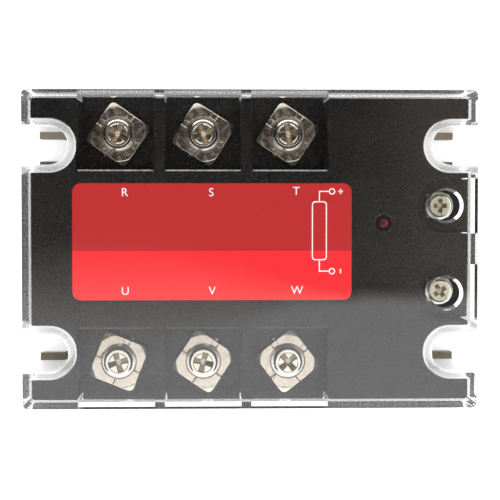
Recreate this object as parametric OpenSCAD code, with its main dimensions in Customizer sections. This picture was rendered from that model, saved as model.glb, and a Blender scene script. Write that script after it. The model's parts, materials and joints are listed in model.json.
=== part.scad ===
// Three-phase solid state relay in a flat module housing.
// The origin is the centre of the mounting face, +Z points out of the top, and +X points to the
// control end. The three line terminals R, S and T lie on the +Y side, and the three load
// terminals U, V and W on the -Y side.

/* [Base plate] */
// Length of the metal base plate
plate_l = 104; // [102:0.5:104.5]
// Width of the metal base plate
plate_w = 72.5; // [71:0.5:73]
// Thickness of the metal base plate
plate_t = 3; // [2:0.5:4]
// Width of the four open mounting slots, for M5 screws
slot_w = 5.5; // [5:0.1:6]
// Distance between the slot centres along the plate
slot_pitch_x = 93; // [92:0.5:94]
// Distance between the slot centres across the plate
slot_pitch_y = 48; // [47.5:0.5:48.5]

/* [Housing] */
// Length of the housing above its flange
block_l = 101.4; // [100:0.2:101.6]
// Width of the housing above its flange
block_w = 69.9; // [69:0.1:70.1]
// Height of the housing's top face above the mounting face
housing_top = 30; // [29.5:0.5:30]
// Thickness of the flange that the cover stands on
flange_t = 5; // [4:0.5:6]
// Thickness of the housing's walls
wall = 2; // [1.6:0.1:2.2]
// Radius of the screwdriver notch above each mounting slot
notch_r = 6.3; // [6.2:0.05:6.5]

/* [Power terminals] */
// Width of one terminal bay
bay_w = 17.9; // [17:0.1:18]
// Distance between neighbouring bays
bay_pitch = 20.2; // [20:0.1:20.5]
// Place of the middle bay along the module
bay_mid_x = -11; // [-12:0.5:-10]
// Distance of the bays' inner wall from the long centre line
bay_inner_y = 18.4; // [18:0.1:18.8]
// Height of the bay floor above the mounting face
bay_floor = 17; // [16.5:0.5:17.5]
// Distance of the power screws from the long centre line
power_y = 27.1; // [26.8:0.1:27.3]
// Side of the square clamp plates
clamp_side = 11.5; // [11:0.1:11.6]
// Turn of each clamp plate about its screw, in the order R, S, T, U, V, W
clamp_turn = [-35, -32, -34, -22, -34, 38]; // [-45:1:45]
// Turn of each cross recess, in the same order
recess_turn = [-27, 18, 9, 16, -14, 40]; // [-45:1:45]
// Outside diameter of the power screws' M4 thread
power_screw_d = 3.9; // [3.8:0.05:4]

/* [Control terminals] */
// Place of the control screws along the module
control_x = 45.1; // [44.8:0.1:45.3]
// Distance of the control screws from the long centre line
control_y = 10.1; // [10:0.1:10.2]
// Radius of the recess around each control screw
control_recess_r = 6.5; // [6.2:0.1:6.6]
// Height of the control recess floor above the mounting face
control_floor = 21.4; // [21:0.2:21.8]
// Turn of the two control screws, plus side first
control_turn = [90, -56]; // [-90:1:90]

/* [Cover] */
// Length of the clear cover
cover_l = 105; // [105:0.5:106]
// Width of the clear cover
cover_w = 73.5; // [73.5:0.5:74.5]
// Height of the cover's top face above the mounting face
cover_top = 33; // [33:0.5:34]
// Wall thickness of the cover
cover_t = 1.5; // [1.3:0.1:1.5]
// Height up to which the cover's wall is open in front of each terminal
wire_gate_top = 27; // [25:0.5:28]
// Diameter of the screwdriver holes over the control screws
access_d = 6.9; // [6.5:0.1:7]

/* [Label and indicator] */
// Length of the front label
label_l = 64.7; // [60:0.1:66]
// Width of the front label
label_w = 27.1; // [26:0.1:28]
// Centre of the front label
label_at = [-8.85, 1.75]; // [-10:0.05:3]
// Centre of the indicator light
led_at = [31, 6]; // [5:0.5:32]

/* [Hidden] */
$fn = 64;
eps = 0.01;

// Circuits: the plus side of the control input first, then the power terminals row by row
phases = ["r", "s", "t", "u", "v", "w"];

// Heights of the stack on a power terminal, from the bay floor up
strap_t = 1.2;
strap_top = bay_floor + strap_t;
clamp_t = 1;                                 // sheet thickness of the clamp plate
clamp_lift = 0.7;                            // how far its rim stands above its dished centre
fold_at = 6.3;                               // distance of its fold lines from the screw
dish_r = 4.15;
corner_bend = 28;                            // how far its corners are bent down
groove_w = 1.5;                              // groove across the middle of each side
groove_depth = 0.3;
clamp_hole_r = 2.2;
washer_t = 0.9;
washer_r = 3.9;
washer_hole_r = 2.15;
washer_split = 0.3;
power_head_z = strap_top + clamp_t + washer_t;
power_head_r = 3.45;
power_head_h = 2.4;
power_screw_l = 8;
power_nut_side = 7;
power_nut_t = 3.2;
power_tip_depth = 5.4;                       // depth of the pocket for the screw's tip
running_fit = 0.05;                          // radial clearance between a screw and its nut
pocket_fit = 0.1;                            // how much wider a pocket is than what it holds
tip_gap = 0.4;                               // radial room for a screw's tip below its nut

// Heights of the stack on a control terminal
control_strap_t = 1;
control_washer_t = 0.6;
control_washer_r = 3.4;
control_head_z = control_floor + control_strap_t + control_washer_t;
control_head_r = 2.7;
control_head_h = 2;
control_screw_r = 1.45;
control_screw_l = 5;
control_nut_side = 5.5;
control_nut_t = 2.4;
control_tip_depth = 3.6;
control_hole_r = 1.6;                        // hole of the washer and of the strap under it
control_disc_r = 3.2;                        // round end of the strap
control_floor_t = 4;

flange_top = plate_t + flange_t;
cavity_top = housing_top - wall;
bay_floor_t = 6.5;                           // deep enough to hold the nut and the screw's tip
end_wall = wall + 0.7;                       // the housing's end walls are a little thicker
cavity_l = block_l - 2 * end_wall;
cavity_w = block_w - 2 * wall;
sill_gap = 0.1;                              // how far the sills stay inside the cover's outer face
gate_gap = 0.15;                             // clearance between a sill and each side of its gate
liner_gap = 0.25;                            // clearance between the notches and the cover's liners
corner_r = 1.2;                              // corner radius of the cover
led_r = 1.5;
led_foot = 24.6;                             // height of the indicator light's rim
led_pitch = 2.54;

// Circuit board and what stands on it
board_z = 21;
board_t = 1.6;
board_l = 76;
board_w = 31;
board_x = -3;
board_top = board_z + board_t;
control_leg = 3.05;                          // distance of a control strap's leg from its screw
control_leg_w = 2;
control_leg_t = 0.5;                         // thin, so that the leg fits beside the nut
control_pin_x = board_x + board_l / 2 - 1.5; // where the strap meets the circuit board
control_low = board_z - 5.6;                 // height of the strap's run under the floor

// Power stage on the base plate, one group for each phase
ceramic_t = 0.8;
pad_t = 0.3;
chip_t = 0.4;
clip_t = 0.4;
chip_side = 5;
chip_y = 7;
chip_x = 3.2;
clip_w = 3;
ceramic_w = 13.8;
ceramic_l = 47.4;
pad_w = 12.6;
pad_l = 21.2;
pad_y = 12.8;
pad_pin_x = 5.6;                             // place of the two pins that stand on the pads
pin_r = 0.4;
ceramic_top = plate_t + ceramic_t;
pad_top = ceramic_top + pad_t;
chip_top = pad_top + chip_t;
strap_w = 7;                                 // width of a power strap, less than its clamp plate's
strap_in = 5.2;                              // reach of the strap from its screw towards the middle
strap_out = 4.6;                             // and towards the bay's open side
strap_hole_r = 2.25;
leg_w = 6;                                   // width of a power strap's leg
foot_l = 7;                                  // length of its foot on the copper pad
foot_t = 0.8;
gel_top = 8;

function phase_x(i) = bay_mid_x + (i % 3 - 1) * bay_pitch;
function phase_side(i) = i < 3 ? 1 : -1;

// ---------- shared shapes ----------

// Rectangle with round corners, centred
module round_rect(l, w, r) {
    square([l - 2 * r, w], center = true);
    square([l, w - 2 * r], center = true);
    for (x = [-1, 1], y = [-1, 1])
        translate([x * (l / 2 - r), y * (w / 2 - r)]) circle(r);
}

// U-shaped outline at one mounting slot, open towards the module's end
module u_outline(r) {
    circle(r);
    translate([0, -r]) square([cover_l / 2, 2 * r]);
}

// Puts its children at all four mounting slots, the open side facing out
module at_slots() {
    for (x = [-1, 1], y = [-1, 1])
        translate([x * slot_pitch_x / 2, y * slot_pitch_y / 2]) mirror([x < 0 ? 1 : 0, 0]) children();
}

// Puts its children at power terminal i, with local +Y pointing to the bay's open side
module at_power(i, z = 0) {
    translate([phase_x(i), phase_side(i) * power_y, z]) rotate(phase_side(i) < 0 ? 180 : 0) children();
}

// Puts its children at a control terminal, side 1 for plus and -1 for minus
module at_control(side, z = 0) {
    translate([control_x, side * control_y, z]) children();
}

module block(size, z = 0) {
    translate([0, 0, z + size[2] / 2]) cube(size, center = true);
}

// Cross recess of four arms and a deeper tapered pit, cut from the top of a screw head
module cross_recess(r, depth) {
    arm_w = 0.42 * r;
    pit = 1.35 * depth;
    for (a = [0, 90]) rotate(a) block([2 * r, arm_w, depth + 1], -depth);
    translate([0, 0, -pit]) cylinder(r1 = arm_w / 2, r2 = 1.5 * arm_w, h = pit + eps);
}

// Pan head with a rolled edge, its bearing face at z = 0
module pan_head(r, h) {
    roll = 0.58 * h;
    rotate_extrude() {
        square([r, h - roll]);
        square([r - roll, h]);
        translate([r - roll, h - roll]) intersection() {
            circle(roll);
            square(roll);
        }
    }
}

// ---------- base plate ----------

module base_plate() {
    color("darkgray") linear_extrude(plate_t) difference() {
        round_rect(plate_l, plate_w, 1);
        at_slots() u_outline(slot_w / 2);
    }
}

// ---------- housing ----------

// Plan of one terminal bay, from its inner wall past the housing's side, grown by g
module bay_outline(i, g = 0) {
    translate([phase_x(i) - bay_w / 2 - g, phase_side(i) > 0 ? bay_inner_y - g : -bay_inner_y - 30 + g])
        square([bay_w + 2 * g, 30]);
}

// Block from the plate up to z, w wide, that runs from y0 to y1 along local +Y
module sill(w, y0, y1, z) {
    translate([-w / 2, y0, plate_t]) cube([w, y1 - y0, z - plate_t]);
}

// Plan of one control recess, open to the end, grown by g
module control_outline(side, g = 0) {
    r = control_recess_r + g;
    at_control(side) {
        circle(r);
        translate([0, -r]) square([20, 2 * r]);
    }
}

// Hollow inside the housing, open at the bottom
module housing_cavity() {
    difference() {
        translate([0, 0, plate_t - eps]) linear_extrude(cavity_top - plate_t + eps)
            difference() {
                square([cavity_l, cavity_w], center = true);
                at_slots() u_outline(notch_r + wall);
            }
        for (i = [0 : 5])
            translate([0, 0, bay_floor - bay_floor_t]) linear_extrude(30) bay_outline(i, wall);
        for (side = [-1, 1])
            translate([0, 0, control_floor - control_floor_t]) linear_extrude(30)
                control_outline(side, wall - 0.6);
    }
}

module housing_shell() {
    difference() {
        union() {
            translate([0, 0, plate_t]) linear_extrude(flange_t) round_rect(plate_l, plate_w, 1);
            translate([0, 0, plate_t]) linear_extrude(housing_top - plate_t)
                round_rect(block_l, block_w, 0.8);
            for (i = [0 : 5]) at_power(i)
                sill(bay_w - 2 * gate_gap, strap_out, cover_w / 2 - sill_gap - power_y, bay_floor);
            for (side = [-1, 1]) at_control(side) rotate(-90)
                sill(2 * (control_recess_r - gate_gap), 0, cover_l / 2 - sill_gap - control_x,
                     control_floor);
        }
        translate([0, 0, plate_t - 1]) linear_extrude(housing_top) at_slots() u_outline(notch_r);
        for (i = [0 : 5]) translate([0, 0, bay_floor]) linear_extrude(30) bay_outline(i);
        for (side = [-1, 1])
            translate([0, 0, control_floor]) linear_extrude(30) control_outline(side);
    }
}

// Pocket for a nut and for the tip of its screw, cut down from the floor
module nut_pocket(side, depth, tip_r, tip_depth) {
    block([side, side, depth + 1], -depth);
    translate([0, 0, -tip_depth]) cylinder(r = tip_r, h = tip_depth);
}

module housing() {
    color("#1c1c1e") difference() {
        housing_shell();
        housing_cavity();
        for (i = [0 : 5]) {
            at_power(i, bay_floor)
                nut_pocket(power_nut_side + pocket_fit, power_nut_t, power_screw_d / 2 + tip_gap,
                           power_tip_depth);
            at_power(i, bay_floor) translate([0, strap_t / 2 - strap_in, 0])
                block([leg_w + pocket_fit, strap_t + pocket_fit, 40], -20);
        }
        for (side = [-1, 1]) {
            at_control(side, control_floor)
                nut_pocket(control_nut_side + pocket_fit, control_nut_t, control_screw_r + tip_gap,
                           control_tip_depth);
            at_control(side, control_floor)
                translate([-control_leg, 0, 0])
                    block([control_leg_t + pocket_fit, control_leg_w + pocket_fit, 12], -6);
        }
        translate([led_at[0], led_at[1], cavity_top - 1]) cylinder(r = led_r + pocket_fit, h = wall + 2);
        translate([led_at[0], led_at[1], housing_top - 0.5])
            cylinder(r1 = led_r + pocket_fit, r2 = led_r + 0.8, h = 0.5 + eps);
    }
}

// ---------- clear cover ----------

module cover() {
    color("#dfe8ee80") difference() {
        union() {
            difference() {
                translate([0, 0, flange_top]) linear_extrude(cover_top - flange_top)
                    round_rect(cover_l, cover_w, corner_r);
                translate([0, 0, flange_top - 1]) linear_extrude(cover_top - cover_t - flange_top + 1)
                    round_rect(cover_l - 2 * cover_t, cover_w - 2 * cover_t, corner_r / 2);
            }
            translate([0, 0, plate_t + 1]) linear_extrude(cover_top - plate_t - 1) intersection() {
                at_slots() u_outline(notch_r - liner_gap);
                round_rect(cover_l, cover_w, corner_r);
            }
        }
        linear_extrude(cover_top + 1) at_slots() u_outline(notch_r - liner_gap - cover_t);
        for (i = [0 : 5])
            at_power(i, flange_top - 1)
                translate([0, cover_w / 2 - power_y, 0]) block([bay_w, 4, wire_gate_top - flange_top + 1]);
        for (side = [-1, 1]) {
            translate([cover_l / 2, side * control_y, flange_top - 1])
                block([4, 2 * control_recess_r, wire_gate_top - flange_top + 1]);
            at_control(side, cover_top - cover_t)
                cylinder(r1 = access_d / 2, r2 = access_d / 2 + 0.6, h = cover_t + eps);
            at_control(side, cover_top - cover_t - 1) cylinder(r = access_d / 2, h = 1 + eps);
        }
    }
}

// ---------- label and indicator ----------

module front_label() {
    color("#d2232a") translate([label_at[0], label_at[1], housing_top]) linear_extrude(0.2)
        round_rect(label_l, label_w, 2);
}

module indicator_led() {
    color("#5a0f12") translate([led_at[0], led_at[1], 0]) {
        dome_z = housing_top - 1.2;
        translate([0, 0, led_foot]) cylinder(r = led_r + 0.4, h = 1);
        translate([0, 0, led_foot]) cylinder(r = led_r, h = dome_z - led_foot);
        translate([0, 0, dome_z]) sphere(led_r);
    }
}

module led_leads() {
    color("silver") for (x = [-1, 1])
        translate([led_at[0] + x * led_pitch / 2, led_at[1], 0])
            block([0.5, 0.5, led_foot - board_z + 1], board_z - 1);
}

// ---------- power terminals ----------

module power_screw(i) {
    color("#c9c5ba") at_power(i, power_head_z) difference() {
        union() {
            pan_head(power_head_r, power_head_h);
            translate([0, 0, -power_screw_l]) cylinder(d = power_screw_d, h = power_screw_l + eps);
        }
        translate([0, 0, power_head_h]) rotate(recess_turn[i]) cross_recess(2.35, 1.3);
    }
}

// Split spring washer
module power_spring_washer(i) {
    color("#b9b8b2") at_power(i, power_head_z - washer_t) difference() {
        cylinder(r = washer_r, h = washer_t);
        translate([0, 0, -1]) cylinder(r = washer_hole_r, h = washer_t + 2);
        rotate(clamp_turn[i] - 70) translate([(washer_r + washer_hole_r) / 2, 0, 0]) rotate([25, 0, 0])
            block([washer_r, washer_split, 4 * washer_t], -2 * washer_t);
    }
}

// Corner of the clamp plate beyond its fold line, lying flat, on the +X diagonal
module clamp_corner_flat() {
    linear_extrude(clamp_t) intersection() {
        rotate(45) round_rect(clamp_side, clamp_side, 1.2);
        translate([fold_at, -5]) square(10);
    }
}

// Square plate with its corners bent down, a dished centre and a groove across each side
module power_clamp(i) {
    color("#c4c0b4") at_power(i, strap_top) rotate(clamp_turn[i] + 45) difference() {
        union() {
            translate([0, 0, clamp_lift]) linear_extrude(clamp_t) intersection() {
                rotate(45) round_rect(clamp_side, clamp_side, 1.2);
                square(2 * fold_at, center = true);
            }
            cylinder(r = dish_r + 0.6, h = clamp_t);
            for (a = [0 : 90 : 270]) rotate(a)
                translate([fold_at, 0, clamp_lift + clamp_t]) rotate([0, corner_bend, 0])
                    translate([-fold_at - 0.02, 0, -clamp_t]) clamp_corner_flat();
        }
        translate([0, 0, clamp_t]) cylinder(r = dish_r, h = 5);
        translate([0, 0, -1]) cylinder(r = clamp_hole_r, h = clamp_t + 2);
        for (a = [45 : 90 : 315]) rotate(a)
            translate([dish_r, -groove_w / 2, clamp_lift + clamp_t - groove_depth])
                cube([clamp_side, groove_w, clamp_t]);
    }
}

// Flat strap under the clamp, with a leg down to the power stage and a foot on its copper pad
module power_terminal(i) {
    color("#c9c2ae") at_power(i) {
        difference() {
            translate([0, (strap_out - strap_in) / 2, 0])
                block([strap_w, strap_out + strap_in, strap_t], bay_floor);
            translate([0, 0, bay_floor - 1]) cylinder(r = strap_hole_r, h = strap_t + 2);
        }
        translate([0, strap_t / 2 - strap_in, 0])
            block([leg_w, strap_t, strap_top - pad_top], pad_top);
        translate([0, strap_t - strap_in - foot_l / 2, 0])
            block([leg_w, foot_l, foot_t], pad_top);
    }
}

module power_nuts() {
    color("#b9b8b2") for (i = [0 : 5]) at_power(i, bay_floor - power_nut_t) difference() {
        block([power_nut_side, power_nut_side, power_nut_t]);
        translate([0, 0, -1]) cylinder(r = power_screw_d / 2 + running_fit, h = power_nut_t + 2);
    }
}

// ---------- control terminals ----------

module control_screw(side) {
    turn = side > 0 ? control_turn[0] : control_turn[1];
    color("#cfc6ae") at_control(side, control_head_z) difference() {
        union() {
            pan_head(control_head_r, control_head_h);
            translate([0, 0, -control_screw_l]) cylinder(r = control_screw_r, h = control_screw_l + eps);
        }
        translate([0, 0, control_head_h]) rotate(turn) cross_recess(1.45, 1.1);
        translate([0, 0, control_head_h]) rotate(turn) block([6, 0.8, 2], -0.7);
    }
}

module control_washer(side) {
    color("#c8bfa6") at_control(side, control_head_z - control_washer_t) difference() {
        cylinder(r = control_washer_r, h = control_washer_t);
        translate([0, 0, -1]) cylinder(r = control_hole_r, h = control_washer_t + 2);
    }
}

// Strap under the washer, with a leg through the floor, a run inwards and a pin into the board
module control_terminal(side) {
    color("#c9c2ae") difference() {
        union() {
            at_control(side, control_floor) cylinder(r = control_disc_r, h = control_strap_t);
            at_control(side) translate([-control_leg / 2, 0, 0])
                block([control_leg + control_leg_t, control_leg_w, control_strap_t], control_floor);
            at_control(side) translate([-control_leg, 0, 0])
                block([control_leg_t, control_leg_w, control_floor + control_strap_t - control_low],
                      control_low);
            translate([(control_pin_x + control_x - control_leg) / 2, side * control_y, 0])
                block([control_x - control_leg - control_pin_x + 1, control_leg_w, 0.8], control_low);
            translate([control_pin_x, side * control_y, 0])
                block([1, 1.6, board_top + 0.8 - control_low], control_low);
        }
        at_control(side, control_floor - 1) cylinder(r = control_hole_r, h = control_strap_t + 2);
    }
}

module control_nuts() {
    color("#b9b8b2") for (side = [-1, 1]) at_control(side, control_floor - control_nut_t) difference() {
        block([control_nut_side, control_nut_side, control_nut_t]);
        translate([0, 0, -1]) cylinder(r = control_screw_r + running_fit, h = control_nut_t + 2);
    }
}

// ---------- control electronics ----------

// Places of the four pins of phase i, from the power stage up to the board
function pin_places(i) = [
    [phase_x(i) - chip_x, chip_y + 2, chip_top],
    [phase_x(i) + chip_x, -chip_y - 2, chip_top],
    [phase_x(i) + pad_pin_x, chip_y + 4.5, pad_top],
    [phase_x(i) - pad_pin_x, -chip_y - 4.5, pad_top]];

module gate_pins() {
    color("silver") for (i = [0 : 2], p = pin_places(i))
        translate(p) cylinder(r = pin_r, h = board_top + 0.6 - p[2]);
}

module circuit_board() {
    color("#2e6b3a") difference() {
        translate([board_x, 0, 0]) block([board_l, board_w, board_t], board_z);
        for (i = [0 : 2], p = pin_places(i))
            translate([p[0], p[1], board_z - 1]) cylinder(r = pin_r + running_fit, h = 4);
        for (side = [-1, 1])
            translate([control_pin_x, side * control_y, 0]) block([1.2, 1.8, 4], board_z - 1);
        for (x = [-1, 1])
            translate([led_at[0] + x * led_pitch / 2, led_at[1], 0]) block([0.6, 0.6, 4], board_z - 1);
    }
}

module optocouplers() {
    opto_w = 6.4;
    color("whitesmoke") for (i = [0 : 2]) translate([phase_x(i), 0, board_top]) {
        block([8.8, opto_w, 3.4], 0.5);
        for (x = [-2.54, 0, 2.54], y = [-1, 1])
            translate([x, y * (opto_w / 2 + 0.4), 0]) block([0.5, 0.9, 2.2]);
    }
}

// Part with a round body and two wire ends, lying along X on the board
module axial_part(body_l, body_r, wire_r) {
    wire_l = 0.8;
    translate([-body_l / 2, 0, body_r]) rotate([0, 90, 0]) cylinder(r = body_r, h = body_l);
    for (x = [-1, 1]) translate([x * (body_l / 2 + wire_l), 0, 0]) {
        cylinder(r = wire_r, h = body_r + wire_r);
        translate([0, 0, body_r]) rotate([0, -90 * x, 0]) cylinder(r = wire_r, h = wire_l + eps);
    }
}

module snubber_resistors() {
    color("tan") for (i = [0 : 2]) translate([phase_x(i) + 1, 6.3, board_top]) axial_part(9, 2, 0.35);
}

module snubber_capacitors() {
    color("khaki") for (i = [0 : 2])
        translate([phase_x(i) + bay_pitch / 2, 0, 0]) block([6, 12, 8], board_z - 8);
}

module gate_resistors() {
    color("dimgray") for (i = [0 : 2], x = [-1, 1])
        translate([phase_x(i) + 4 * x, -6.5, 0]) block([3.2, 1.6, 0.6], board_top);
}

module input_transistor() {
    case_r = 2.3;
    case_h = 4.6;
    color("#202020") translate([30, -3, board_top]) {
        intersection() {
            cylinder(r = case_r, h = case_h);
            translate([-case_r, -case_r / 2, 0]) cube([2 * case_r, 2 * case_r, case_h]);
        }
    }
}

module input_diode() {
    color("#303030") translate([26, -10, board_top]) axial_part(5, 1.3, 0.35);
}

module input_resistors() {
    color("#7fa6c9") for (y = [11, 13.8]) translate([26, y, board_top]) axial_part(6, 1.15, 0.3);
}

// ---------- power stage ----------

module ceramic_substrates() {
    color("white") for (i = [0 : 2]) translate([phase_x(i), 0, 0])
        block([ceramic_w, ceramic_l, ceramic_t], plate_t);
}

// Two copper pads on each ceramic, one for each terminal of the phase
module copper_pads() {
    color("#c98f5a") for (i = [0 : 2], y = [-1, 1])
        translate([phase_x(i), y * pad_y, 0]) block([pad_w, pad_l, pad_t], ceramic_top);
}

module thyristor_chips() {
    color("#7a7f86") for (i = [0 : 2], y = [-1, 1])
        translate([phase_x(i) - y * chip_x, y * chip_y, 0])
            block([chip_side, chip_side + 1, chip_t], pad_top);
}

// Copper clips that join the top of each chip to the pad of the other terminal
module chip_clips() {
    color("#d39a63") for (i = [0 : 2], y = [-1, 1]) translate([phase_x(i) - y * chip_x, 0, 0]) {
        translate([0, y * -0.4, 0]) block([clip_w, 2 * chip_y + 2, clip_t], chip_top);
        translate([0, y * -chip_y, 0]) block([clip_w, 2, chip_t + eps], pad_top);
    }
}

// Soft filling over the power stage, up to the height that seals it
module potting_gel() {
    color("#d8e4e860") difference() {
        translate([0, 0, plate_t]) linear_extrude(gel_top - plate_t) difference() {
            square([cavity_l, cavity_w], center = true);
            at_slots() u_outline(notch_r + wall);
        }
        ceramic_substrates();
        copper_pads();
        thyristor_chips();
        chip_clips();
        gate_pins();
        for (i = [0 : 5]) power_terminal(i);
    }
}

// ---------- build ----------

base_plate();
housing();
cover();
front_label();
indicator_led();
led_leads();
for (i = [0 : 5]) {
    power_screw(i);
    power_spring_washer(i);
    power_clamp(i);
    power_terminal(i);
}
control_screw(1);  // control_screw_plus
control_screw(-1);  // control_screw_minus
control_washer(1);  // control_washer_plus
control_washer(-1);  // control_washer_minus
control_terminal(1);  // control_terminal_plus
control_terminal(-1);  // control_terminal_minus
power_nuts();
control_nuts();
circuit_board();
optocouplers();
snubber_resistors();
snubber_capacitors();
gate_resistors();
input_transistor();
input_diode();
input_resistors();
gate_pins();
ceramic_substrates();
copper_pads();
thyristor_chips();
chip_clips();
potting_gel();
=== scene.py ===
"""Looks of a flat three-phase solid state relay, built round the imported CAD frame."""
import json
import math

import bmesh
import bpy
from mathutils import Matrix, Vector


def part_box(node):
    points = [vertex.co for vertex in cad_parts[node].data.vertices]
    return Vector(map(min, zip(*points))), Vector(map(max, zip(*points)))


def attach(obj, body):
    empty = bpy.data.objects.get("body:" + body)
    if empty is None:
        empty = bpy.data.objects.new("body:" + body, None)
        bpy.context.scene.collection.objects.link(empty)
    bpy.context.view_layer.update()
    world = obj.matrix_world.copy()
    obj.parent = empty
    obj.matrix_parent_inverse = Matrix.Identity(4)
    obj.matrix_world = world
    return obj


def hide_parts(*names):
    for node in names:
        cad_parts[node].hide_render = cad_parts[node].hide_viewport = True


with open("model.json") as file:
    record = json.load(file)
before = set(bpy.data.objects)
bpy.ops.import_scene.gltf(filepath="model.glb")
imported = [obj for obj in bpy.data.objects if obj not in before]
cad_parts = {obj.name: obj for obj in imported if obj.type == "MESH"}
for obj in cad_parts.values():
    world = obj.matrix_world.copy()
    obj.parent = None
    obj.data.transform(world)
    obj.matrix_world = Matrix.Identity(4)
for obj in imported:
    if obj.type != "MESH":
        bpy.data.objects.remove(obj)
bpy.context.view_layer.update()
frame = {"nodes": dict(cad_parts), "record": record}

MM = 0.001
TAU = 2 * math.pi
SCENE = bpy.context.scene
NODES = frame["nodes"]
SLOT_OF = {part["node"]: part["material_slot"] for part in frame["record"]["subparts"]}

# ---------- what the frame says, in millimetres ----------


def span(node):
    """Lowest and highest corner of a CAD node, in millimetres."""
    low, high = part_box(node)
    return low / MM, high / MM


def middle(node):
    low, high = span(node)
    return (low + high) / 2


COVER_HIGH = span("cover")[1]
LABEL_LOW, LABEL_HIGH = span("front_label")
PHASES = "rstuvw"
POLES = ("plus", "minus")
POWER_AT = {p: middle("power_screw_" + p) for p in PHASES}
CONTROL_AT = {p: middle("control_screw_" + p) for p in POLES}

# Turn of each clamp plate and of each screw's recess, in degrees
CLAMP_TURN = dict(zip(PHASES, (-35, -32, -34, -22 + 180, -34 + 180, 38 + 180)))
RECESS_TURN = dict(zip(PHASES, (-27, 18, 9, 16 + 180, -14 + 180, 40 + 180)))
CONTROL_TURN = {"plus": 90, "minus": -56}

# Details that the boxes don't give: terminal bays and mounting notches
BAY_W = 17.9
BAY_WALL_Y = 18.4
NOTCH_AT = Vector((46.5, 24.0))

# Cover: the skirt stands on FLANGE_TOP, the notch liners on LINER_FOOT, gates end at GATE_TOP
COVER_T = 1.5
COVER_CORNER_R = 1.2
COVER_EDGE = 0.3
NOTCH_LINER_R = 4.55
FLANGE_TOP = 8.05
LINER_FOOT = 4.0
GATE_TOP = 27.0
CONTROL_GATE_W = 13.0
ACCESS_R, ACCESS_FLARE = 3.45, 0.6

# Screw heads: radius, height, and radius of the flat middle; the painted shade in the recess ends at
# DARK_R
HEAD_R, HEAD_H, HEAD_FLAT, DARK_R = 3.45, 2.4, 2.95, 2.6
CONTROL_HEAD_R, CONTROL_HEAD_H, CONTROL_HEAD_FLAT, CONTROL_DARK_R = 2.7, 2.0, 2.35, 1.7

# ---------- mesh helpers ----------


def soft_step(value, low, high):
    """0 below low and 1 above high, with a smooth change between them."""
    t = min(max((value - low) / (high - low), 0.0), 1.0)
    return t * t * (3 - 2 * t)


def arc(centre, radius, start, end, steps):
    """Points of an arc in the XY plane, angles in degrees, both ends included."""
    for k in range(steps + 1):
        a = math.radians(start + (end - start) * k / steps)
        yield (centre[0] + radius * math.cos(a), centre[1] + radius * math.sin(a))


def mesh_of(name, shells, sharp=32):
    """One mesh from shells of (verts in mm, faces), welded, with outward normals."""
    bm = bmesh.new()
    for verts, faces in shells:
        made = [bm.verts.new(Vector(v) * MM) for v in verts]
        for face in faces:
            bm.faces.new([made[i] for i in face])
    bmesh.ops.remove_doubles(bm, verts=bm.verts, dist=1e-7)
    bmesh.ops.dissolve_degenerate(bm, edges=bm.edges, dist=1e-7)
    bmesh.ops.recalc_face_normals(bm, faces=bm.faces)
    mesh = bpy.data.meshes.new(name)
    bm.to_mesh(mesh)
    bm.free()
    mesh.shade_smooth()
    mesh.set_sharp_from_angle(angle=math.radians(sharp))
    return mesh


def turned(section, count, closed=False, start=0.0, sweep=TAU):
    """Shell whose radial section at each angle is section(angle), a list of (radius, z)."""
    full = sweep > TAU - 1e-6
    rings = count if full else count + 1
    size = len(section(start))
    verts, faces = [], []
    for k in range(rings):
        a = start + sweep * k / count
        verts += [(r * math.cos(a), r * math.sin(a), z) for r, z in section(a)]
    for k in range(count):
        here, there = k * size, (k + 1) % rings * size
        for j in range(size if closed else size - 1):
            n = (j + 1) % size
            faces.append((here + j, here + n, there + n, there + j))
    if not full:
        faces.append(tuple(range(size)))
        faces.append(tuple(range((rings - 1) * size, rings * size)))
    return verts, faces


def rounded_ring(inner, outer, low, high, edge, steps=4):
    """Closed section of a flat ring with rounded edges."""
    points = []
    for r, z, a in ((outer - edge, high - edge, 90), (outer - edge, low + edge, 0),
                    (inner + edge, low + edge, -90), (inner + edge, high - edge, -180)):
        points += list(arc((r, z), edge, a, a - 90, steps))
    return points


def add_piece(name, mesh, look, body, stands_for=(), at=(0, 0, 0), turn=0.0):
    """Puts a mesh into the scene as a piece that rides on a body; at is in millimetres."""
    obj = bpy.data.objects.new(name, mesh)
    SCENE.collection.objects.link(obj)
    obj.matrix_world = (Matrix.Translation(Vector(at) * MM)
                        @ Matrix.Rotation(math.radians(turn), 4, "Z"))
    if not mesh.materials:
        mesh.materials.append(look)
    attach(obj, body)
    if stands_for:
        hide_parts(*stands_for)
    keep_flats(obj)
    return obj


def keep_flats(obj):
    """Lets the largest faces set the shading, so that flats beside round edges stay flat."""
    mod = obj.modifiers.new("flat_shading", "WEIGHTED_NORMAL")
    mod.keep_sharp = True
    mod.weight = 80


def bevel(obj, width, segments, angle):
    """Rounds every edge sharper than angle, in degrees."""
    mod = obj.modifiers.new("edge_radius", "BEVEL")
    mod.width = width * MM
    mod.segments = segments
    mod.limit_method = "ANGLE"
    mod.angle_limit = math.radians(angle)
    mod.harden_normals = True
    return mod


def soften_cad(node, width):
    """Welds a CAD node's faces, joins flat ones and rounds its edges, all with modifiers."""
    obj = NODES[node]
    obj.modifiers.new("weld", "WELD").merge_threshold = 1e-5
    flat = obj.modifiers.new("flat_faces", "DECIMATE")
    flat.decimate_type = "DISSOLVE"
    flat.angle_limit = math.radians(0.5)
    bevel(obj, width, segments=2, angle=30).use_clamp_overlap = False


# ---------- materials ----------


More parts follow.
